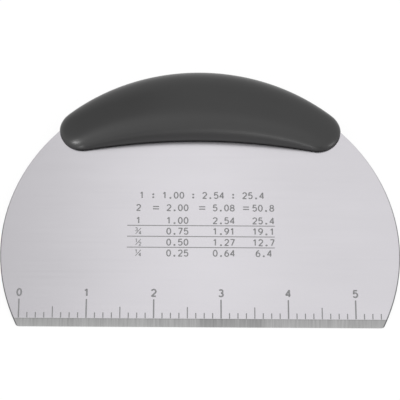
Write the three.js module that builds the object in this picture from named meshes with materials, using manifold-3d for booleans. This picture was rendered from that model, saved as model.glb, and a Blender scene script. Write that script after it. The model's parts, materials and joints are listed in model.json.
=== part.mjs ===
// Dough scraper: a steel disc cut off along a straight scraping edge, with a crescent handle over its rim.
//
// The blade is a stamped sheet with one ground bevel. Its upper rim steps in to a tang with locking holes.
// A rigid handle core is moulded over the tang and grips it with pegs that pass through those holes.
// A soft grip is moulded over the core and wraps the rim of the blade at both ends of the handle.
//
// Tool frame: X along the scraping edge, Y from the edge (Y = 0) to the handle, Z out of the front face,
// with the middle of the sheet at Z = 0. The finished tool lies on a table, tipped on its edge and its handle.
// Millimetres and degrees. A bearing is an angle from +Y towards +X about the centre of the disc.
import * as THREE from 'three';
import { mergeVertices } from 'three/addons/utils/BufferGeometryUtils.js';
import Module from 'manifold-3d';

const wasm = await Module();
wasm.setup();

// Blade
const BLADE_RADIUS = 76.2;
const EDGE_TO_DISC_CENTRE = 32.4;
const BLADE_THICKNESS = 1.0;
const CORNER_RADIUS = 1.5;
const RIM_BREAK = 0.18;
const GRIND_HEIGHT = 3.2;
const EDGE_LAND = 0.4;
const TANG_INSET = 6.2;
const LOCK_HOLE_DIAMETER = 9;
const LOCK_HOLE_COUNT = 3;
const LOCK_HOLE_SPACING = 26;

// Grip
const GRIP_OVERHANG = 2.9;
const GRIP_DEPTH = 30.8;
const GRIP_LOWER_RADIUS = 223;
const GRIP_END_BEARING = 40.9;
const GRIP_THICKNESS = 21;
const GRIP_WALL = 2;
// Fullness 2 is an ellipse, and a higher value is squarer: along the grip, and in a section's two halves.
const LENGTH_FULLNESS = 2.1;
const UPPER_FULLNESS = 2.15;
const LOWER_FULLNESS = 1.9;
// How far a section's crest lies below its middle, as a part of its half-width.
const CREST_DROP = 0.25;

// Running gap between a moulded piece and what it is moulded over
const CLEARANCE = 0.3;

// Facets
const RIM_STEP = 3;
const HOLE_STEP = 15;
const SECTION_POINTS = 30;
const SPAN_STATIONS = 30;
const CAP_STATIONS = 9;

const radians = THREE.MathUtils.degToRad;
const discCentre = new THREE.Vector2(0, EDGE_TO_DISC_CENTRE);
const tangRadius = BLADE_RADIUS - TANG_INSET;
const gripRadius = BLADE_RADIUS + GRIP_OVERHANG;
const endBearing = radians(GRIP_END_BEARING);

// The grip's lower side is an arc whose centre lies this far below the centre of the disc.
const lowerCentreDrop = GRIP_LOWER_RADIUS - (gripRadius - GRIP_DEPTH);
const lowerCentre = new THREE.Vector2(0, EDGE_TO_DISC_CENTRE - lowerCentreDrop);

// Each end of the grip is the circle that touches both arcs, on the bearing of the end.
const arcSum = gripRadius + GRIP_LOWER_RADIUS;
const endCentreReach = (arcSum ** 2 - lowerCentreDrop ** 2)
  / (2 * (arcSum + lowerCentreDrop * Math.cos(endBearing)));
const endRadius = gripRadius - endCentreReach;

// Along the grip's middle line, from mid-length to the end circle's centre and to the tip.
const spanLength = endCentreReach * endBearing;
const halfLength = spanLength + endRadius;

function onBearing(centre, radius, bearing) {
  return new THREE.Vector2(centre.x + radius * Math.sin(bearing), centre.y + radius * Math.cos(bearing));
}

function arc(centre, radius, from, to, stepDegrees = RIM_STEP) {
  const steps = Math.max(2, Math.ceil(Math.abs(to - from) / radians(stepDegrees)));
  return Array.from({ length: steps + 1 }, (_, i) => onBearing(centre, radius, from + (to - from) * i / steps));
}

// Distance from the disc's centre to the grip's lower arc, on a bearing.
function lowerReach(bearing) {
  const across = lowerCentreDrop * Math.sin(bearing);
  return Math.sqrt(GRIP_LOWER_RADIUS ** 2 - across ** 2) - lowerCentreDrop * Math.cos(bearing);
}

// Solids and meshes

function solidOf(geometry) {
  const bare = geometry.clone();
  bare.deleteAttribute('normal');
  bare.deleteAttribute('uv');
  const merged = mergeVertices(bare, 1e-4);
  return new wasm.Manifold(new wasm.Mesh({
    numProp: 3,
    vertProperties: new Float32Array(merged.attributes.position.array),
    triVerts: new Uint32Array(merged.index.array),
  }));
}

function geometryOf(solid) {
  const { vertProperties, triVerts } = solid.getMesh();
  const geometry = new THREE.BufferGeometry();
  geometry.setAttribute('position', new THREE.BufferAttribute(new Float32Array(vertProperties), 3));
  geometry.setIndex(new THREE.BufferAttribute(new Uint32Array(triVerts), 1));
  geometry.computeVertexNormals();
  return geometry;
}

function piece(name, solid, material) {
  const mesh = new THREE.Mesh(geometryOf(solid), material);
  mesh.name = name;
  return mesh;
}

// Blade

// The blade's outline grown outwards all round, from the left end of the edge, anticlockwise.
function bladeOutline(grown = 0) {
  const rim = BLADE_RADIUS + grown;
  const tang = tangRadius + grown;
  const corner = CORNER_RADIUS + grown;
  const fillet = new THREE.Vector2(
    Math.sqrt((rim - corner) ** 2 - (EDGE_TO_DISC_CENTRE - CORNER_RADIUS) ** 2), CORNER_RADIUS);
  const filletBearing = Math.atan2(fillet.x, fillet.y - EDGE_TO_DISC_CENTRE);
  const shoulderOut = endBearing - grown / rim;
  const shoulderIn = endBearing - grown / tang;
  const right = [
    ...arc(fillet, corner, Math.PI, filletBearing, HOLE_STEP),
    ...arc(discCentre, rim, filletBearing, shoulderOut).slice(1),
  ];
  const left = right.map((p) => new THREE.Vector2(-p.x, p.y)).reverse();
  return [...right, ...arc(discCentre, tang, shoulderIn, -shoulderIn), ...left];
}

// Bearing and distance of each locking hole, midway between the grip's lower side and the top of the tang.
const lockHoles = Array.from({ length: LOCK_HOLE_COUNT }, (_, i) => {
  const bearing = radians(LOCK_HOLE_SPACING) * (i - (LOCK_HOLE_COUNT - 1) / 2);
  return onBearing(discCentre, (lowerReach(bearing) + tangRadius) / 2, bearing);
});

function bladeSlab(grown, thickness, edgeBreak, holes) {
  const shape = new THREE.Shape(bladeOutline(grown));
  shape.holes = holes.map((centre) =>
    new THREE.Path(arc(centre, LOCK_HOLE_DIAMETER / 2, 0, 2 * Math.PI, HOLE_STEP).slice(1)));
  const slab = new THREE.ExtrudeGeometry(shape, {
    depth: thickness - 2 * edgeBreak,
    bevelEnabled: edgeBreak > 0,
    bevelThickness: edgeBreak,
    bevelSize: edgeBreak,
    bevelOffset: -edgeBreak,
    bevelSegments: 1,
  });
  return solidOf(slab.translate(0, 0, edgeBreak - thickness / 2));
}

// What the grinder takes off the front face, a wedge that runs past the edge and both corners.
function grindWedge() {
  const front = BLADE_THICKNESS / 2;
  const fall = (BLADE_THICKNESS - EDGE_LAND) / GRIND_HEIGHT;
  const past = GRIND_HEIGHT;
  const section = new THREE.Shape([
    new THREE.Vector2(GRIND_HEIGHT, front),
    new THREE.Vector2(GRIND_HEIGHT, front + past),
    new THREE.Vector2(-past, front + past),
    new THREE.Vector2(-past, front - fall * (GRIND_HEIGHT + past)),
  ]);
  const length = 2 * (BLADE_RADIUS + past);
  const wedge = new THREE.ExtrudeGeometry(section, { depth: length, bevelEnabled: false });
  // Section X becomes Y, section Y becomes Z and the extrusion becomes X.
  wedge.applyMatrix4(new THREE.Matrix4().makeBasis(
    new THREE.Vector3(0, 1, 0), new THREE.Vector3(0, 0, 1), new THREE.Vector3(1, 0, 0)));
  return solidOf(wedge.translate(-length / 2, 0, 0));
}

function bladeSolid() {
  return bladeSlab(0, BLADE_THICKNESS, RIM_BREAK, lockHoles).subtract(grindWedge());
}

// The room that the blade takes up inside a moulded piece.
function bladeSlot() {
  return bladeSlab(CLEARANCE, BLADE_THICKNESS + 2 * CLEARANCE, 0, []);
}

// Grip

// A section across the grip, from its lower side to its upper side, with half its thickness there.
function section(lower, upper, halfThickness) {
  return { lower, upper, halfThickness };
}

// Half the thickness at a distance along the middle line: one full curve from tip to tip.
function halfThicknessAt(along, inset) {
  const part = Math.abs(along) / (halfLength - inset);
  return (GRIP_THICKNESS / 2 - inset) * (1 - part ** LENGTH_FULLNESS) ** (1 / LENGTH_FULLNESS);
}

// Sections on bearings between the two end circles, for a surface that lies inset from the outside of the grip.
function spanSections(inset) {
  return Array.from({ length: SPAN_STATIONS + 1 }, (_, i) => {
    const bearing = endBearing * (2 * i / SPAN_STATIONS - 1);
    const lower = Math.sqrt((GRIP_LOWER_RADIUS + inset) ** 2 - (lowerCentreDrop * Math.sin(bearing)) ** 2)
      - lowerCentreDrop * Math.cos(bearing);
    return section(
      onBearing(discCentre, lower, bearing),
      onBearing(discCentre, gripRadius - inset, bearing),
      halfThicknessAt(endCentreReach * bearing, inset));
  });
}

// Sections across the right-hand end, which run parallel from the end circle's centre out to its tip.
function capSections(inset) {
  const centre = onBearing(discCentre, endCentreReach, endBearing);
  const up = onBearing(new THREE.Vector2(), 1, endBearing);
  const out = new THREE.Vector2(up.y, -up.x);
  const radius = endRadius - inset;
  const lowerRadius = GRIP_LOWER_RADIUS + inset;
  // The end circle takes over from the lower arc where the two touch.
  const touch = lowerCentre.clone().sub(centre).normalize().dot(out) * radius;
  const sections = [];
  for (let i = 1; i < CAP_STATIONS; i += 1) {
    const reach = radius * Math.sin(Math.PI / 2 * i / CAP_STATIONS);
    const half = Math.sqrt(radius ** 2 - reach ** 2);
    const foot = centre.clone().addScaledVector(out, reach);
    const fromLower = foot.clone().sub(lowerCentre);
    const rise = fromLower.dot(up);
    const drop = reach < touch
      ? rise - Math.sqrt(rise ** 2 - fromLower.lengthSq() + lowerRadius ** 2)
      : half;
    sections.push(section(
      foot.clone().addScaledVector(up, -drop),
      foot.clone().addScaledVector(up, half),
      halfThicknessAt(spanLength + reach, inset)));
  }
  return { sections, tip: centre.clone().addScaledVector(out, radius) };
}

// One section's outline: an egg that is thickest towards the blade and thins towards the top of the grip.
function ringOf({ lower, upper, halfThickness }) {
  const middle = lower.clone().add(upper).multiplyScalar(0.5);
  const half = upper.clone().sub(lower).multiplyScalar(0.5);
  return Array.from({ length: SECTION_POINTS }, (_, i) => {
    const turn = 2 * Math.PI * i / SECTION_POINTS;
    const fullness = Math.cos(turn) > 0 ? UPPER_FULLNESS : LOWER_FULLNESS;
    const power = (value) => Math.sign(value) * Math.abs(value) ** (2 / fullness);
    const across = power(Math.cos(turn));
    const lowered = across - CREST_DROP * (1 - across ** 2);
    const point = middle.clone().addScaledVector(half, lowered);
    return new THREE.Vector3(point.x, point.y, halfThickness * power(Math.sin(turn)));
  });
}

function mirrored({ lower, upper, halfThickness }) {
  return section(new THREE.Vector2(-lower.x, lower.y), new THREE.Vector2(-upper.x, upper.y), halfThickness);
}

// The closed form of the whole grip, inset all round, as rings of one section each between its two tips.
function gripForm(inset) {
  const cap = capSections(inset);
  const rings = [...cap.sections.map(mirrored).reverse(), ...spanSections(inset), ...cap.sections].map(ringOf);
  const leftTip = new THREE.Vector3(-cap.tip.x, cap.tip.y, 0);
  const rightTip = new THREE.Vector3(cap.tip.x, cap.tip.y, 0);
  const points = [leftTip, ...rings.flat(), rightTip];
  const at = (ring, k) => 1 + ring * SECTION_POINTS + (k % SECTION_POINTS);
  const last = rings.length - 1;
  const index = [];
  for (let k = 0; k < SECTION_POINTS; k += 1) {
    index.push(0, at(0, k + 1), at(0, k));
    index.push(points.length - 1, at(last, k), at(last, k + 1));
    for (let ring = 0; ring < last; ring += 1) {
      index.push(at(ring, k), at(ring, k + 1), at(ring + 1, k + 1));
      index.push(at(ring, k), at(ring + 1, k + 1), at(ring + 1, k));
    }
  }
  const form = new THREE.BufferGeometry().setFromPoints(points);
  form.setIndex(index);
  return solidOf(form);
}

function gripSolid() {
  return gripForm(0).subtract(gripForm(GRIP_WALL)).subtract(bladeSlot());
}

// Core

// A peg that joins the two sides of the core through one of the blade's locking holes.
function lockPeg(centre) {
  const radius = LOCK_HOLE_DIAMETER / 2 - CLEARANCE;
  const length = BLADE_THICKNESS + 4 * CLEARANCE;
  const peg = new THREE.CylinderGeometry(radius, radius, length, 360 / HOLE_STEP);
  return solidOf(peg.rotateX(Math.PI / 2).translate(centre.x, centre.y, 0));
}

function coreSolid() {
  const body = gripForm(GRIP_WALL + CLEARANCE).subtract(bladeSlot());
  return lockHoles.reduce((solid, centre) => solid.add(lockPeg(centre)), body);
}

// Tool

const steel = new THREE.MeshStandardMaterial({ color: 0xd6d4d7, roughness: 0.35, metalness: 1 });
const rigidPlastic = new THREE.MeshStandardMaterial({ color: 0x2b2b2b, roughness: 0.5, metalness: 0 });
const softGrip = new THREE.MeshStandardMaterial({ color: 0x464646, roughness: 0.6, metalness: 0 });

const tool = new THREE.Group();
tool.add(piece('blade', bladeSolid(), steel));
tool.add(piece('handle_core', coreSolid(), rigidPlastic));
tool.add(piece('grip', gripSolid(), softGrip));

// Laid down, the tool tips until the back of the grip and the back corner of the edge both touch the table.
function restTip(grip) {
  const back = -BLADE_THICKNESS / 2;
  const points = grip.geometry.attributes.position;
  let slope = 0;
  for (let i = 0; i < points.count; i += 1) {
    slope = Math.max(slope, (back - points.getZ(i)) / (points.getY(i) - RIM_BREAK));
  }
  return Math.atan(slope);
}

tool.rotation.x = restTip(tool.getObjectByName('grip'));
const bounds = new THREE.Box3().setFromObject(tool, true);
tool.position.set(0, -(bounds.min.y + bounds.max.y) / 2, -bounds.min.z);

const scraper = new THREE.Group();
scraper.add(tool);

export default scraper;
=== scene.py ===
"""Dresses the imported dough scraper: satin steel, a ground edge, etched marks and a soft grip."""

import json
import math
from functools import cached_property

import bpy
from mathutils import Matrix, Vector

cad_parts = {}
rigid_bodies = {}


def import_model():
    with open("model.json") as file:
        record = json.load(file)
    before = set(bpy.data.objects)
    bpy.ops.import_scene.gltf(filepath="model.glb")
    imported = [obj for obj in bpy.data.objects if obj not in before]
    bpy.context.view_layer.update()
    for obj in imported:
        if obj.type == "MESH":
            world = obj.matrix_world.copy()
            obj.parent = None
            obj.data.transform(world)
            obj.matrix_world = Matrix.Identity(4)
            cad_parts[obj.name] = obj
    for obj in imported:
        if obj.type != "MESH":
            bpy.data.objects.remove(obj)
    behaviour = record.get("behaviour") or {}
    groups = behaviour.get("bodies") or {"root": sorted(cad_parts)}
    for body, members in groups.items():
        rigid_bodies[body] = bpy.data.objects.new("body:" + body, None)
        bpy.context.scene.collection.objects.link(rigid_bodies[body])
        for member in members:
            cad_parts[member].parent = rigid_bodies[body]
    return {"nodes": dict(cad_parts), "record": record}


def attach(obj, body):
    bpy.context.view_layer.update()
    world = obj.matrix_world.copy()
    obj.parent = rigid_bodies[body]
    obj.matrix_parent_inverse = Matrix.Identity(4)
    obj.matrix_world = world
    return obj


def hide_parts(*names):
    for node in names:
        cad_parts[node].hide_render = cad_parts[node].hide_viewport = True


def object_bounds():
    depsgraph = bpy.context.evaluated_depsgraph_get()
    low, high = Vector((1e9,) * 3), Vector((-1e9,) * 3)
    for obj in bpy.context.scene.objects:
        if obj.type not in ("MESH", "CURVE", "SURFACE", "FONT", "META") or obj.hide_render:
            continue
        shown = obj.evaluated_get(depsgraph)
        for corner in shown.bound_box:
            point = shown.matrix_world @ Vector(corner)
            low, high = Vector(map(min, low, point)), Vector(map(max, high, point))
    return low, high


bl_info = {
    "name": "Dough Scraper Looks",
    "version": (1, 0, 0),
    "blender": (4, 5, 0),
    "location": "3D View > Sidebar > Scraper",
    "description": "Dresses the dough scraper and lays it on a white table",
    "category": "Object",
}

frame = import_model()
CAD_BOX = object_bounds()

MM = 0.001
INCH = 0.0254


def sheet_placement():
    """Places the blade's front face: X along the edge, Y up the sheet, Z out of the face."""
    mounts = frame["record"]["mounts"]
    face = next(mount for mount in mounts if mount["name"] == "blade_front")
    along = Vector((1, 0, 0))
    out = Vector(face["axis"]).normalized()
    up = out.cross(along)
    edge = min(vertex.co.dot(up) for vertex in frame["nodes"]["blade"].data.vertices)
    origin = up * edge + out * Vector(face["pos_m"]).dot(out)
    return Matrix.Translation(origin) @ Matrix((along, up, out)).transposed().to_4x4()


SHEET = sheet_placement()


# Sizes and colours


class ScraperSteel(bpy.types.PropertyGroup):
    """The blade's finishes."""

    satin: bpy.props.FloatVectorProperty(
        name="Satin", description="Colour of the brushed sheet", subtype="COLOR", size=4,
        default=(0.685, 0.668, 0.701, 1), min=0, max=1)
    # The bevel's colour is darker than the satin partly for its cross-ground finish and partly as
    # painted shade
    ground: bpy.props.FloatVectorProperty(
        name="Ground", description="Colour of the ground bevel", subtype="COLOR", size=4,
        default=(0.415, 0.415, 0.415, 1), min=0, max=1)
    # The rim's colour is partly the cut rim's own dull finish and partly a painted dark reflection
    # of its edge
    blanked: bpy.props.FloatVectorProperty(
        name="Blanked", description="Colour of the cut rim", subtype="COLOR", size=4,
        default=(0.17, 0.17, 0.175, 1), min=0, max=1)
    grind_height: bpy.props.FloatProperty(
        name="Grind Height", description="Height of the ground bevel above the edge",
        unit="LENGTH", default=3.2 * MM, min=0)
    disc_radius: bpy.props.FloatProperty(
        name="Disc Radius", description="Radius of the disc that the blade is cut from",
        unit="LENGTH", default=76.2 * MM, min=0)
    disc_centre: bpy.props.FloatProperty(
        name="Disc Centre", description="Height of the disc's centre above the edge",
        unit="LENGTH", default=32.4 * MM, min=0)
    rim_width: bpy.props.FloatProperty(
        name="Rim Width", description="Width of the dull band along the cut rim",
        unit="LENGTH", default=0.45 * MM, min=0)
    thickness: bpy.props.FloatProperty(
        name="Thickness", description="Thickness of the sheet",
        unit="LENGTH", default=1.0 * MM, min=0)


class ScraperMarks(bpy.types.PropertyGroup):
    """The ruler and the table of numbers that are etched on the front."""

    colour: bpy.props.FloatVectorProperty(
        name="Colour", description="Colour of the etched marks", subtype="COLOR", size=4,
        default=(0.30, 0.30, 0.305, 1), min=0, max=1)
    depth: bpy.props.FloatProperty(
        name="Depth", description="Thickness of a mark",
        unit="LENGTH", default=0.04 * MM, min=0)
    zero: bpy.props.FloatProperty(
        name="Zero", description="Place of the ruler's zero along the edge",
        unit="LENGTH", default=-68.35 * MM)
    foot: bpy.props.FloatProperty(
        name="Foot", description="Height at which the ticks start",
        unit="LENGTH", default=3.3 * MM, min=0)
    inch_top: bpy.props.FloatProperty(
        name="Inch Tick", description="Height of the top of an inch tick",
        unit="LENGTH", default=11.3 * MM, min=0)
    half_top: bpy.props.FloatProperty(
        name="Half Tick", description="Height of the top of a half tick",
        unit="LENGTH", default=8.1 * MM, min=0)
    eighth_top: bpy.props.FloatProperty(
        name="Eighth Tick", description="Height of the top of an eighth tick",
        unit="LENGTH", default=5.65 * MM, min=0)
    inch_width: bpy.props.FloatProperty(
        name="Inch Width", description="Width of an inch tick",
        unit="LENGTH", default=0.55 * MM, min=0)
    eighth_width: bpy.props.FloatProperty(
        name="Eighth Width", description="Width of the shorter ticks",
        unit="LENGTH", default=0.42 * MM, min=0)
    figure_height: bpy.props.FloatProperty(
        name="Figure Height", description="Height of the ruler's numbers",
        unit="LENGTH", default=3.5 * MM, min=0)
    figure_middle: bpy.props.FloatProperty(
        name="Figure Middle", description="Height of the middle of the ruler's numbers",
        unit="LENGTH", default=14.05 * MM, min=0)
    figure_width: bpy.props.FloatProperty(
        name="Figure Width", description="Width of the strokes of the ruler's numbers",
        unit="LENGTH", default=0.62 * MM, min=0)
    table_height: bpy.props.FloatProperty(
        name="Table Figures", description="Height of the table's numbers",
        unit="LENGTH", default=3.1 * MM, min=0)
    table_pitch: bpy.props.FloatProperty(
        name="Table Pitch", description="Distance from one of the table's numbers to the next",
        unit="LENGTH", default=2.2 * MM, min=0)
    table_width: bpy.props.FloatProperty(
        name="Table Width", description="Width of the strokes of the table's numbers",
        unit="LENGTH", default=0.48 * MM, min=0)
    rule_width: bpy.props.FloatProperty(
        name="Rule Width", description="Width of the lines between the table's rows",
        unit="LENGTH", default=0.36 * MM, min=0)


class ScraperGrip(bpy.types.PropertyGroup):
    """The handle's finishes."""

    skin: bpy.props.FloatVectorProperty(
        name="Skin", description="Colour of the soft grip", subtype="COLOR", size=4,
        default=(0.0265, 0.0265, 0.0265, 1), min=0, max=1)
    core: bpy.props.FloatVectorProperty(
        name="Core", description="Colour of the rigid core", subtype="COLOR", size=4,
        default=(0.02, 0.02, 0.02, 1), min=0, max=1)
    lip_radius: bpy.props.FloatProperty(
        name="Lip Radius", description="Radius of the grip's arched lower edge",
        unit="LENGTH", default=223 * MM, min=0)
    lip_middle: bpy.props.FloatProperty(
        name="Lip Middle", description="Height of the middle of that edge above the blade's edge",
        unit="LENGTH", default=80.7 * MM, min=0)
    grain: bpy.props.FloatProperty(
        name="Grain", description="Size of the moulded grain",
        unit="LENGTH", default=0.35 * MM, min=0.01 * MM)


class ScraperStage(bpy.types.PropertyGroup):
    """The table and the camera."""

    paper: bpy.props.FloatVectorProperty(
        name="Table", description="Colour of the table", subtype="COLOR", size=4,
        default=(1, 1, 1, 1), min=0, max=1)
    lens: bpy.props.FloatProperty(
        name="Lens", description="Focal length on a 36 mm sensor, in millimetres",
        default=246.1, min=1)
    distance: bpy.props.FloatProperty(
        name="Distance", description="Distance from the camera to the blade",
        unit="LENGTH", default=1053.1 * MM, min=0)
    tilt: bpy.props.FloatProperty(
        name="Tilt", description="Angle between the view and the blade's face",
        subtype="ANGLE", default=math.radians(29.481))
    yaw: bpy.props.FloatProperty(
        name="Yaw", description="Angle of the view to the side",
        subtype="ANGLE", default=math.radians(-0.595))
    roll: bpy.props.FloatProperty(
        name="Roll", description="Turn of the camera about its view",
        subtype="ANGLE", default=math.radians(0.36))
    aim: bpy.props.FloatVectorProperty(
        name="Aim", description="Point of the blade's face in the middle of the view",
        subtype="TRANSLATION", size=2, default=(-0.105 * MM, 54.47 * MM))


GROUPS = {
    "scraper_steel": ScraperSteel,
    "scraper_marks": ScraperMarks,
    "scraper_grip": ScraperGrip,
    "scraper_stage": ScraperStage,
}


# Shader nodes


class Wire:
    """One output of a shader node. Arithmetic on wires adds Math nodes to their tree."""

    def __init__(self, tree, socket=None):
        self.tree = tree
        self.socket = socket

    def feed(self, socket, value):
        """Links a wire into a socket, or sets a plain value on it."""
        if isinstance(value, Wire):
            self.tree.links.new(value.socket, socket)
        else:
            socket.default_value = value

    def node(self, kind, settings=None, inputs=None, output=0):
        """Adds a node: its settings first, then a value or a wire for each named socket."""
        made = self.tree.nodes.new(kind)
        for name, value in (settings or {}).items():
            setattr(made, name, value)
        for name, value in (inputs or {}).items():
            self.feed(made.inputs[name], value)
        return Wire(self.tree, made.outputs[output])

    def maths(self, operation, first, second=0.0):
        return self.node("ShaderNodeMath", {"operation": operation}, {0: first, 1: second})

    def __add__(self, other):
        return self.maths("ADD", self, other)

    __radd__ = __add__

    def __sub__(self, other):
        return self.maths("SUBTRACT", self, other)

    def __rsub__(self, other):
        return self.maths("SUBTRACT", other, self)

    def __mul__(self, other):
        return self.maths("MULTIPLY", self, other)

    __rmul__ = __mul__

    def __pow__(self, other):
        return self.maths("POWER", self, other)

    def __abs__(self):
        return self.maths("ABSOLUTE", self)

    def across(self, other):
        """The long side of the right triangle on two distances."""
        return (self * self + other * other) ** 0.5

    def dot(self, vector):
        """The part of this vector that lies along a fixed one."""
        return self.node(
            "ShaderNodeVectorMath", {"operation": "DOT_PRODUCT"}, {0: self, 1: vector}, "Value")

    def rise(self, low, high):
        """0 below low, 1 above high, and a smooth step between them."""
        return self.node(
            "ShaderNodeMapRange", {"interpolation_type": "SMOOTHSTEP"},
            {"Value": self, "From Min": low, "From Max": high})

    def between(self, low, high):
        """Spreads a value of 0 to 1 from low to high."""
        return self * (high - low) + low

    def tint(self, first, second):
        """Mixes two colours by this wire."""
        return self.node("ShaderNodeMix", {"data_type": "RGBA"}, {0: self, 6: first, 7: second}, 2)

    def bump(self, strength, distance):
        """A surface normal raised by this height."""
        return self.node(
            "ShaderNodeBump", {},
            {"Strength": strength, "Distance": distance, "Height": self}, "Normal")


class Finish:
    """A new material with its surface shader, and a point's place on the blade's sheet."""

    def __init__(self, name):
        self.material = bpy.data.materials.new(name)
        self.material.use_nodes = True
        self.tree = self.material.node_tree
        self.surface = self.tree.nodes["Principled BSDF"]
        self.place = Wire(self.tree).node("ShaderNodeTexCoord", {}, {}, "Object")

    def set(self, sockets):
        """Gives each named socket of the surface its value or wire."""
        for name, value in sockets.items():
            self.place.feed(self.surface.inputs[name], value)

    @cached_property
    def sheet(self):
        """Distances along the edge, up the sheet and out of the blade's front face."""
        origin = SHEET.translation
        axes = [SHEET.col[i].to_3d() for i in range(3)]
        return [self.place.dot(axis) - origin.dot(axis) for axis in axes]

    def noise(self, rates, detail=2.0, roughness=0.5):
        """Noise stretched by its rates along the edge, up the sheet and out of it."""
        along, up, out = self.sheet
        spot = self.place.node(
            "ShaderNodeCombineXYZ", {},
            {"X": along * rates[0], "Y": up * rates[1], "Z": out * rates[2]})
        return self.place.node(
            "ShaderNodeTexNoise", {},
            {"Vector": spot, "Scale": 1.0, "Detail": detail, "Roughness": roughness}, "Fac")


def shade(colour, factor):
    """A colour made lighter or darker by a factor."""
    return [factor * channel for channel in colour[:3]] + [1]


# How often each pattern repeats in a metre: along the edge, up the sheet and out of it
SATIN_GRAIN = (60, 5200, 300)
SATIN_STREAK = (14, 850, 60)
SATIN_CLOUD = (22, 60, 30)
GRIND_SCOUR = (1300, 50, 50)
GRIND_PATCH = (110, 4, 4)
ETCH_MOTTLE = (1800, 1800, 1800)
SKIN_CLOUD = (45, 45, 45)
CORE_CLOUD = (200, 200, 200)

# One stretch of the bevel is darker: where along the edge it starts, and where it ends
DARKER_START = (-2 * MM, 1 * MM)
DARKER_END = (22 * MM, 26 * MM)
# The heights between which the rim's dark band, partly the cut rim's own finish and partly painted
# reflection, fades out
RIM_FADE = (30 * MM, 95 * MM)
# How far the painted shade in the crease with the blade reaches over the skin: up it, and to each
# side of the sheet
JOINT_SHADE_UP = (0.5 * MM, 2.0 * MM)
JOINT_SHADE_ASIDE = (0.8 * MM, 1.9 * MM)


def steel_finish(steel):
    """Fine horizontal satin grain, a cross-ground bevel darkened partly by painted shade, and a dull
    cut rim darkened partly by painted reflection.
    """
    finish = Finish("blade_satin_steel")
    along, up, out = finish.sheet
    grind, radius, band_width = steel.grind_height, steel.disc_radius, steel.rim_width
    grain = finish.noise(SATIN_GRAIN, 3.0, 0.6)
    streak = finish.noise(SATIN_STREAK)
    cloud = finish.noise(SATIN_CLOUD)
    scour = finish.noise(GRIND_SCOUR, 3.0, 0.65)
    patch = finish.noise(GRIND_PATCH)
    # Darker along the top of the bevel
    bevel_top_darkening = up.rise(grind - 0.5 * MM, grind - 0.2 * MM)
    darker_stretch = along.rise(*DARKER_START) * (1 - along.rise(*DARKER_END))
    front = out.rise(-0.95 * steel.thickness, -0.90 * steel.thickness)
    ground = (1 - up.rise(grind - 0.06 * MM, grind + 0.02 * MM)) * front
    reach = along.across(up - steel.disc_centre)
    band = reach.rise(radius - band_width, radius - 0.6 * band_width)
    # The rim's dark band: partly the dull cut rim, partly painted reflection of its edge, fading out
    # up the sides
    rim = band * (1 - up.rise(*RIM_FADE))
    brushing = grain * 0.3 + streak * 0.22 + cloud * 0.48
    satin = brushing.tint(shade(steel.satin, 0.92), shade(steel.satin, 1.08))
    scratches = scour.rise(0.3, 0.7) * 0.45 + patch.rise(0.25, 0.75) * 0.25
    bevel_tone = scratches + (1 - darker_stretch) * 0.3 - bevel_top_darkening * 0.3
    # The bevel's colour: partly its cross-ground finish, partly painted shade
    scoured_and_shaded = bevel_tone.tint(shade(steel.ground, 0.64), shade(steel.ground, 1.20))
    finish.set({
        "Base Color": rim.tint(ground.tint(satin, scoured_and_shaded), steel.blanked[:]),
        "Roughness": grain.between(0.20, 0.26) + ground * 0.14 + rim * 0.2,
        "Metallic": 1.0,
        "Normal": (grain * (1 - ground) + scour * ground).bump(0.12, 0.01 * MM),
    })
    return finish.material


def etched_finish(marks):
    """The dull, slightly mottled grey of an etched line."""
    finish = Finish("etched_grey")
    mottle = finish.noise(ETCH_MOTTLE, 2.0, 0.6)
    finish.set({
        "Base Color": mottle.tint(shade(marks.colour, 0.8), shade(marks.colour, 1.2)),
        "Roughness": mottle.between(0.55, 0.75),
        "Metallic": 0.35,
    })
    return finish.material


def skin_finish(grip, sheet_thickness):
    """Soft-touch moulding with a fine grain and an uneven sheen, and painted shade where it meets
    the blade.
    """
    finish = Finish("soft_grip_skin")
    along, up, out = finish.sheet
    grain = finish.noise([1 / grip.grain] * 3, 2.0, 0.55)
    cloud = finish.noise(SKIN_CLOUD)
    above = along.across(up + (grip.lip_radius - grip.lip_middle)) - grip.lip_radius
    aside = abs(out + sheet_thickness / 2)
    # Painted shade: the skin is darker, and rougher, in the crease where it meets the blade
    painted_joint_shade = (1 - above.rise(*JOINT_SHADE_UP)) * (1 - aside.rise(*JOINT_SHADE_ASIDE))
    skin = (grain * 0.5 + cloud * 0.5).tint(shade(grip.skin, 0.86), shade(grip.skin, 1.14))
    finish.set({
        "Base Color": painted_joint_shade.tint(skin, shade(grip.skin, 0.3)),
        "Roughness": cloud.between(0.26, 0.32) + grain * 0.04 + painted_joint_shade * 0.5,
        "Specular IOR Level": 0.37,
        "Normal": grain.bump(0.25, 0.02 * MM),
    })
    return finish.material


def core_finish(grip):
    """Plain rigid moulding, hidden inside the grip."""
    finish = Finish("rigid_core")
    cloud = finish.noise(CORE_CLOUD)
    finish.set({
        "Base Color": cloud.tint(shade(grip.core, 0.9), shade(grip.core, 1.1)),
        "Roughness": cloud.between(0.42, 0.55),
    })
    return finish.material


# Modelling


def paint(piece, material):
    piece.data.materials.clear()
    piece.data.materials.append(material)


def alone(piece):
    """Selects one object and nothing else."""
    bpy.ops.object.select_all(action="DESELECT")
    piece.select_set(True)
    bpy.context.view_layer.objects.active = piece


def smooth_copy(node, name, angle):
    """Copies a CAD node's solid, joins its loose triangles and smooths all but its sharp edges."""
    source = frame["nodes"][node]
    piece = bpy.data.objects.new(name, source.data.copy())
    bpy.context.scene.collection.objects.link(piece)
    alone(piece)
    bpy.ops.object.mode_set(mode="EDIT")
    bpy.ops.mesh.select_all(action="SELECT")
    bpy.ops.mesh.remove_doubles(threshold=0.001 * MM)
    bpy.ops.object.mode_set(mode="OBJECT")
    if piece.data.has_custom_normals:
        bpy.ops.mesh.customdata_custom_splitnormals_clear()
    bpy.ops.object.shade_smooth_by_angle(angle=math.radians(angle))
    return piece


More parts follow.
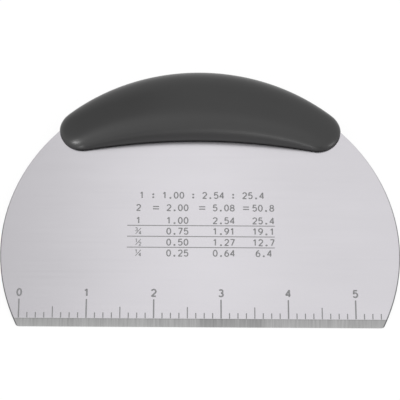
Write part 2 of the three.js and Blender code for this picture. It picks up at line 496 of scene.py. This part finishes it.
def rounded_outside(piece):
    """Rounds the outside of a smooth piece between its facets, clear of its sharp edges."""
    alone(piece)
    bpy.ops.object.mode_set(mode="EDIT")
    bpy.ops.mesh.select_mode(type="FACE")
    bpy.ops.mesh.select_all(action="DESELECT")
    bpy.ops.object.mode_set(mode="OBJECT")
    highest = max(piece.data.polygons, key=lambda face: face.center.z)
    highest.select = True
    bpy.ops.object.mode_set(mode="EDIT")
    bpy.ops.mesh.select_linked(delimit={"SHARP"})
    bpy.ops.mesh.select_less()
    bpy.ops.mesh.tris_convert_to_quads()
    bpy.ops.mesh.subdivide(number_cuts=1, smoothness=1.0)
    bpy.ops.object.mode_set(mode="OBJECT")


def settle(piece, material):
    """Paints a finished piece and fixes it to the part's one body."""
    paint(piece, material)
    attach(piece, "root")


def to_sheet(piece):
    """Carries a piece that was laid out flat onto the blade's front face."""
    alone(piece)
    piece.matrix_world = SHEET @ piece.matrix_world
    bpy.ops.object.transform_apply(location=True, rotation=True, scale=True)


def repeat(piece, count, step):
    """Repeats a flat mark along the edge."""
    alone(piece)
    row = piece.modifiers.new("row", "ARRAY")
    row.use_relative_offset = False
    row.use_constant_offset = True
    row.constant_offset_displace = (step, 0, 0)
    row.count = count
    bpy.ops.object.modifier_apply(modifier=row.name)


# How much of a bar's narrow side each of its rounded corners takes
BAR_CORNER = 0.3


def bar(name, left, right, low, high, depth):
    """A flat etched bar with its corners rounded, half sunk into the face."""
    bpy.ops.object.select_all(action="DESELECT")
    middle = ((left + right) / 2, (low + high) / 2, 0)
    bpy.ops.mesh.primitive_cube_add(size=1, location=middle)
    piece = bpy.context.object
    piece.name = name
    piece.scale = (right - left, high - low, depth)
    bpy.ops.object.transform_apply(location=True, rotation=True, scale=True)
    bpy.ops.object.mode_set(mode="EDIT")
    bpy.ops.mesh.select_mode(type="EDGE")
    bpy.ops.mesh.select_all(action="DESELECT")
    bpy.ops.object.mode_set(mode="OBJECT")
    for edge in piece.data.edges:
        ends = [piece.data.vertices[i].co for i in edge.vertices]
        edge.select = abs(ends[0].z - ends[1].z) > depth / 2
    bpy.ops.object.mode_set(mode="EDIT")
    corner = BAR_CORNER * min(right - left, high - low)
    bpy.ops.mesh.bevel(offset=corner, segments=2, affect="EDGES")
    bpy.ops.object.mode_set(mode="OBJECT")
    return piece


def ellipse(x, y, across, high, start=0, sweep=360, step=20):
    """Points of an arc of an ellipse from the right, anticlockwise where its sweep is positive."""
    steps = max(3, round(abs(sweep) / step))
    turns = [math.radians(start + sweep * i / steps) for i in range(steps + 1)]
    return [(x + across * math.cos(turn), y + high * math.sin(turn)) for turn in turns]


DOT_RADIUS = 0.08


def dot(x, y):
    """A ring small enough for its stroke to fill it."""
    return ellipse(x, y, DOT_RADIUS, DOT_RADIUS, step=60)


# A corner of a stroke that is straighter than this, in degrees, is left as it is
STRAIGHT = 145
# How far from a corner its rounding starts, and the most of a side that it may take
EASE, EASE_SHARE = 0.07, 0.45


def eased(stroke):
    """A stroke with its sharp corners rounded a little, so that they don't pinch it."""
    points = [Vector(point) for point in stroke]
    path = [points[0]]
    for before, corner, after in zip(points, points[1:], points[2:]):
        back, on = before - corner, after - corner
        if back.angle(on) > math.radians(STRAIGHT):
            path.append(corner)
            continue
        first = corner + back.normalized() * min(EASE, EASE_SHARE * back.length)
        last = corner + on.normalized() * min(EASE, EASE_SHARE * on.length)
        for t in (0, 0.25, 0.5, 0.75, 1):
            path.append(first.lerp(corner, t).lerp(corner.lerp(last, t), t))
    return [*path, points[-1]]


def half_turned(strokes):
    """A figure's strokes turned upside down in their cell."""
    return [[(CELL - x, 1 - y) for x, y in stroke] for stroke in strokes]


def shrunk(strokes, size, x, y):
    """A figure's strokes made smaller and moved within their cell."""
    return [[(x + size * a, y + size * b) for a, b in stroke] for stroke in strokes]


# A figure's cell is 1 high and this wide. Each figure is drawn in strokes of an engraver's point.
CELL = 0.6
STROKES = {
    "0": [ellipse(0.3, 0.5, 0.27, 0.5)],
    "1": [[(0.1, 0.76), (0.34, 1.0), (0.34, 0.0)]],
    "2": [[*ellipse(0.3, 0.71, 0.27, 0.29, 165, -195), (0.03, 0.0), (0.58, 0.0)]],
    "3": [
        ellipse(0.29, 0.76, 0.24, 0.24, 150, -240),
        ellipse(0.29, 0.26, 0.28, 0.26, 90, -245),
    ],
    "4": [[(0.6, 0.28), (0.0, 0.28), (0.44, 1.0), (0.44, 0.0)]],
    "5": [
        [(0.55, 1.0), (0.12, 1.0), (0.07, 0.52), *ellipse(0.29, 0.32, 0.28, 0.32, 130, -280)],
    ],
    "6": [ellipse(0.3, 0.3, 0.27, 0.3), ellipse(0.52, 0.3, 0.49, 0.7, 180, -82)],
    "7": [[(0.02, 1.0), (0.58, 1.0), (0.2, 0.0)]],
    "8": [ellipse(0.3, 0.76, 0.23, 0.24), ellipse(0.3, 0.26, 0.28, 0.26)],
    ".": [dot(0.3, 0.05)],
    ":": [dot(0.3, 0.14), dot(0.3, 0.64)],
    "=": [[(-0.15, 0.28), (0.75, 0.28)], [(-0.15, 0.68), (0.75, 0.68)]],
    "/": [[(-0.05, 0.05), (0.65, 0.95)]],
    " ": [],
}
STROKES["9"] = half_turned(STROKES["6"])
# A fraction is two small figures beside a slash, in finer strokes than those of a whole figure
FRACTIONS = {"½": ("1", "2"), "¼": ("1", "4"), "¾": ("3", "4")}
FRACTION_STROKE = 0.6
for fraction, (over, under) in FRACTIONS.items():
    STROKES[fraction] = [
        *shrunk(STROKES[over], 0.52, -0.12, 0.5),
        *STROKES["/"],
        *shrunk(STROKES[under], 0.52, 0.38, -0.02),
    ]


def figures(text, along, middle, height, pitch, width, depth):
    """A line of evenly spaced numbers as round-ended strokes, half sunk into the face."""
    bpy.ops.object.select_all(action="DESELECT")
    bpy.ops.curve.primitive_bezier_curve_add(location=(0, 0, 0))
    piece = bpy.context.object
    shape = piece.data
    shape.splines.clear()
    tall = height - width
    left = along - pitch * (len(text) - 1) / 2 - CELL * tall / 2
    for place, character in enumerate(text):
        for stroke in STROKES[character]:
            spline = shape.splines.new("POLY")
            closed = len(stroke) > 3 and math.dist(stroke[0], stroke[-1]) < 1e-6
            points = stroke[:-1] if closed else eased(stroke)
            spline.points.add(len(points) - 1)
            spline.use_cyclic_u = closed
            for point, (x, y) in zip(spline.points, points):
                point.co = (left + pitch * place + tall * x, middle + tall * (y - 0.5), 0, 1)
    shape.dimensions = "3D"
    shape.bevel_depth = width / 2
    shape.bevel_resolution = 1
    shape.use_fill_caps = True
    bpy.ops.object.convert(target="MESH")
    piece = bpy.context.object
    piece.scale = (1, 1, depth / width)
    bpy.ops.object.transform_apply(location=True, rotation=True, scale=True)
    bpy.ops.object.mode_set(mode="EDIT")
    bpy.ops.mesh.select_all(action="SELECT")
    bpy.ops.mesh.normals_make_consistent(inside=False)
    bpy.ops.object.mode_set(mode="OBJECT")
    return piece


def joined(pieces, name):
    """Joins like marks into one piece."""
    alone(pieces[0])
    for piece in pieces[1:]:
        piece.select_set(True)
    bpy.ops.object.join()
    pieces[0].name = name
    return pieces[0]


# The ruler's numbered inches. Its eighths run on for half an inch more.
RULER_INCHES = 5

# The table's places, in millimetres from the middle of the blade and up from its edge
TABLE_LEFT, TABLE_RIGHT = -28.0, 28.5
TABLE_RULES = (43.15, 38.4, 33.65)
TABLE_COLUMNS = (-23.7, -8.75, 9.0, 24.2)
TABLE_EQUALS = (-17.0, 0.75, 17.6)
TABLE_TITLE = ("1 : 1.00 : 2.54 : 25.4", 0.6, 56.5)
TABLE_HEAD = (("2", "2.00", "5.08", "50.8"), 51.0)
# Lengths in inches, in decimals, in centimetres and in millimetres
TABLE_ROWS = (
    (("1", "1.00", "2.54", "25.4"), 45.4),
    (("¾", "0.75", "1.91", "19.1"), 40.7),
    (("½", "0.50", "1.27", "12.7"), 35.9),
    (("¼", "0.25", "0.64", "6.4"), 31.2),
)


# Operators


class ScraperOperator:
    """What the scraper's operators share."""

    bl_options = {"REGISTER", "UNDO"}


class SCRAPER_OT_blade(ScraperOperator, bpy.types.Operator):
    """Finish the blade in satin steel with a ground bevel and a cut rim"""

    bl_idname = "scraper.blade"
    bl_label = "Finish Blade"

    def execute(self, context):
        blade = smooth_copy("blade", "blade_sheet", angle=20)
        settle(blade, steel_finish(context.scene.scraper_steel))
        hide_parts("blade")
        return {"FINISHED"}


class SCRAPER_OT_grip(ScraperOperator, bpy.types.Operator):
    """Finish the soft grip and the rigid core inside it"""

    bl_idname = "scraper.grip"
    bl_label = "Finish Grip"

    def execute(self, context):
        grip = smooth_copy("grip", "grip_skin", angle=50)
        rounded_outside(grip)
        looks = context.scene.scraper_grip
        thickness = context.scene.scraper_steel.thickness
        settle(grip, skin_finish(looks, thickness))
        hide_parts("grip")
        paint(frame["nodes"]["handle_core"], core_finish(looks))
        return {"FINISHED"}


class SCRAPER_OT_ruler(ScraperOperator, bpy.types.Operator):
    """Etch the inch ruler along the edge, in eighths, with its numbers"""

    bl_idname = "scraper.ruler"
    bl_label = "Etch Ruler"

    def execute(self, context):
        marks = context.scene.scraper_marks
        ticks = []
        # Each kind of tick starts some inches from zero, and is repeated a number of times at a step
        for name, start, top, width, rows in (
            ("inch", 0, marks.inch_top, marks.inch_width, [(RULER_INCHES + 1, 1)]),
            ("half", 1 / 2, marks.half_top, marks.eighth_width, [(RULER_INCHES, 1)]),
            (
                "eighth", 1 / 8, marks.eighth_top, marks.eighth_width,
                [(3, 1 / 8), (2 * RULER_INCHES + 1, 1 / 2)]),
        ):
            middle = marks.zero + start * INCH
            tick = bar(name, middle - width / 2, middle + width / 2, marks.foot, top, marks.depth)
            for count, step in rows:
                repeat(tick, count, step * INCH)
            ticks.append(tick)
        numbers = [
            figures(
                str(inch), marks.zero + inch * INCH, marks.figure_middle, marks.figure_height,
                marks.figure_height, marks.figure_width, marks.depth)
            for inch in range(RULER_INCHES + 1)
        ]
        etched = etched_finish(marks)
        for piece in (joined(ticks, "ruler_ticks"), joined(numbers, "ruler_numbers")):
            to_sheet(piece)
            settle(piece, etched)
        return {"FINISHED"}


class SCRAPER_OT_table(ScraperOperator, bpy.types.Operator):
    """Etch the table of lengths in the middle of the blade"""

    bl_idname = "scraper.table"
    bl_label = "Etch Table"

    def execute(self, context):
        marks = context.scene.scraper_marks
        places = [TABLE_TITLE]
        for cells, middle in (TABLE_HEAD, *TABLE_ROWS):
            places += [(cell, x, middle) for cell, x in zip(cells, TABLE_COLUMNS)]
        places += [("=", x, TABLE_HEAD[1]) for x in TABLE_EQUALS]
        lines = [
            figures(
                text, x * MM, middle * MM, marks.table_height, marks.table_pitch,
                marks.table_width * (FRACTION_STROKE if text in FRACTIONS else 1), marks.depth)
            for text, x, middle in places
        ]
        half = marks.rule_width / 2
        rules = [
            bar(
                "rule", TABLE_LEFT * MM, TABLE_RIGHT * MM, y * MM - half, y * MM + half,
                marks.depth)
            for y in TABLE_RULES
        ]
        etched = etched_finish(marks)
        for piece in (joined(lines, "table_numbers"), joined(rules, "table_rules")):
            to_sheet(piece)
            settle(piece, etched)
        return {"FINISHED"}


# The share of plain white in the paper as the camera and the steel see it. The rest is lit.
PAPER_GLOW = 0.86
# The paper's width, and how far it lies under the part
PAPER_SIZE = 6
PAPER_GAP = 0.1 * MM
# The room is white but for patches: the way to each, the cosines at which it starts and is full,
# and how much light it adds
ROOM_PATCHES = (
    ((-0.07, -0.36, 0.93), 0.90, 0.99, 0.26),
    ((-0.58, 0.335, 0.743), 0.76, 0.90, -0.45),
    ((0.25, -0.967, -0.05), 0.91, 0.985, -0.9),
    ((0.0, 0.94, 0.34), 0.75, 0.98, -0.22),
)
MIDDLE = (0, 0, 0.01)
RIGHT_END = (0.055, 0.020, 0.012)
# Each lamp's name, place, the point that it faces, its width and height, its power in watts, and
# the one piece that it lights
LAMPS = (
    ("back_strip", (-0.010, 0.250, 0.450), MIDDLE, (0.10, 0.40), 0.03, None),
    ("table_panel", (0.0, 0.0, 1.2), MIDDLE, (1.6, 1.6), 5.0, "table_top"),
    ("left_panel", (-0.490, -0.675, 0.343), MIDDLE, (0.95, 0.60), 0.6, "grip_skin"),
    ("left_lamp", (-0.558, -0.468, 0.540), MIDDLE, (0.30, 0.22), 3.6, "grip_skin"),
    ("right_lamp", (0.283, -0.077, 0.046), RIGHT_END, (0.12, 0.08), 0.10, "grip_skin"),
    ("low_panel", (-0.206, -0.825, 0.040), MIDDLE, (0.24, 0.08), 0.9, "grip_skin"),
)


def white_paper(colour):
    """White paper that keeps a soft shadow, and shows white to the camera and in the steel."""
    finish = Finish("white_table")
    finish.set({"Base Color": colour, "Roughness": 0.9, "Specular IOR Level": 0.0})
    glow = finish.place.node("ShaderNodeEmission", {}, {"Color": (1, 1, 1, 1), "Strength": 1.0})
    camera, glossy, through = (
        finish.place.node("ShaderNodeLightPath", {}, {}, f"Is {ray} Ray")
        for ray in ("Camera", "Glossy", "Transmission")
    )
    share = (camera + glossy + through) * PAPER_GLOW
    paper = Wire(finish.tree, finish.surface.outputs[0])
    both = finish.place.node("ShaderNodeMixShader", {}, {0: share, 1: paper, 2: glow})
    both.feed(finish.tree.nodes["Material Output"].inputs["Surface"], both)
    return finish.material


def lay_table(stage):
    """Lays the white table under the part."""
    bpy.ops.object.select_all(action="DESELECT")
    below = CAD_BOX[0].z - PAPER_GAP
    bpy.ops.mesh.primitive_plane_add(size=PAPER_SIZE, location=(0, 0, below))
    table = bpy.context.object
    table.name = "table_top"
    bpy.ops.object.transform_apply(location=True, rotation=True, scale=True)
    paint(table, white_paper(stage.paper[:]))


def white_room(scene):
    """Sets up a white room, whose brighter and darker patches show in the steel and the grip."""
    room = bpy.data.worlds.new("white_room")
    scene.world = room
    room.use_nodes = True
    sky = room.node_tree.nodes["Background"]
    air = Wire(room.node_tree)
    way = air.node("ShaderNodeTexCoord", {}, {}, "Generated")
    level = 1.0
    for towards, start, full, change in ROOM_PATCHES:
        level = level + way.dot(towards).rise(start, full) * change
    seen = air.node("ShaderNodeLightPath", {}, {}, "Is Camera Ray")
    air.feed(sky.inputs["Color"], seen.tint(level, (1, 1, 1, 1)))
    sky.inputs["Strength"].default_value = 1.0


def softbox(name, place, target, size, power, lit):
    """Hangs an area lamp that faces a point, kept off all but one piece where one is named."""
    bpy.ops.object.light_add(type="AREA", location=place)
    lamp = bpy.context.object
    lamp.name = name
    lamp.data.shape = "RECTANGLE"
    lamp.data.size, lamp.data.size_y = size
    lamp.data.energy = power
    facing = Vector(target) - Vector(place)
    lamp.rotation_euler = facing.to_track_quat("-Z", "Y").to_euler()
    if lit:
        receivers = bpy.data.collections.new("lit_by_" + name)
        receivers.objects.link(bpy.data.objects[lit])
        lamp.light_linking.receiver_collection = receivers


def aim_camera(scene, stage):
    """Stands the camera where the photograph was taken from."""
    bpy.ops.object.camera_add()
    camera = bpy.context.object
    camera.name = "photo_camera"
    camera.data.sensor_width = 36
    camera.data.lens = stage.lens
    turn = (
        Matrix.Rotation(stage.tilt, 4, "X")
        @ Matrix.Rotation(stage.yaw, 4, "Y")
        @ Matrix.Rotation(stage.roll, 4, "Z")
    )
    aim = Matrix.Translation((stage.aim[0], stage.aim[1], 0))
    camera.matrix_world = SHEET @ aim @ turn @ Matrix.Translation((0, 0, stage.distance))
    scene.camera = camera


class SCRAPER_OT_stage(ScraperOperator, bpy.types.Operator):
    """Lay a white table under the scraper, light it softly and aim the camera"""

    bl_idname = "scraper.stage"
    bl_label = "Set Stage"

    def execute(self, context):
        stage = context.scene.scraper_stage
        lay_table(stage)
        white_room(context.scene)
        for lamp in LAMPS:
            softbox(*lamp)
        aim_camera(context.scene, stage)
        context.scene.view_settings.view_transform = "Standard"
        return {"FINISHED"}


OPERATORS = (
    SCRAPER_OT_blade, SCRAPER_OT_grip, SCRAPER_OT_ruler, SCRAPER_OT_table, SCRAPER_OT_stage,
)


class SCRAPER_PT_looks(bpy.types.Panel):
    """Lists the scraper's operators and their sizes and colours"""

    bl_idname = "SCRAPER_PT_looks"
    bl_label = "Dough Scraper"
    bl_space_type = "VIEW_3D"
    bl_region_type = "UI"
    bl_category = "Scraper"

    def draw(self, context):
        for operator in OPERATORS:
            self.layout.operator(operator.bl_idname)
        for name, group in GROUPS.items():
            box = self.layout.box()
            box.label(text=group.__name__)
            for setting in group.__annotations__:
                box.prop(getattr(context.scene, name), setting)


CLASSES = (*GROUPS.values(), *OPERATORS, SCRAPER_PT_looks)


def register():
    for item in CLASSES:
        bpy.utils.register_class(item)
    for name, group in GROUPS.items():
        setattr(bpy.types.Scene, name, bpy.props.PointerProperty(type=group))


def unregister():
    for name in GROUPS:
        delattr(bpy.types.Scene, name)
    for item in reversed(CLASSES):
        bpy.utils.unregister_class(item)


def main():
    register()
    bpy.ops.scraper.blade()
    bpy.ops.scraper.grip()
    bpy.ops.scraper.ruler()
    bpy.ops.scraper.table()
    bpy.ops.scraper.stage()


if __name__ == "__main__":
    main()
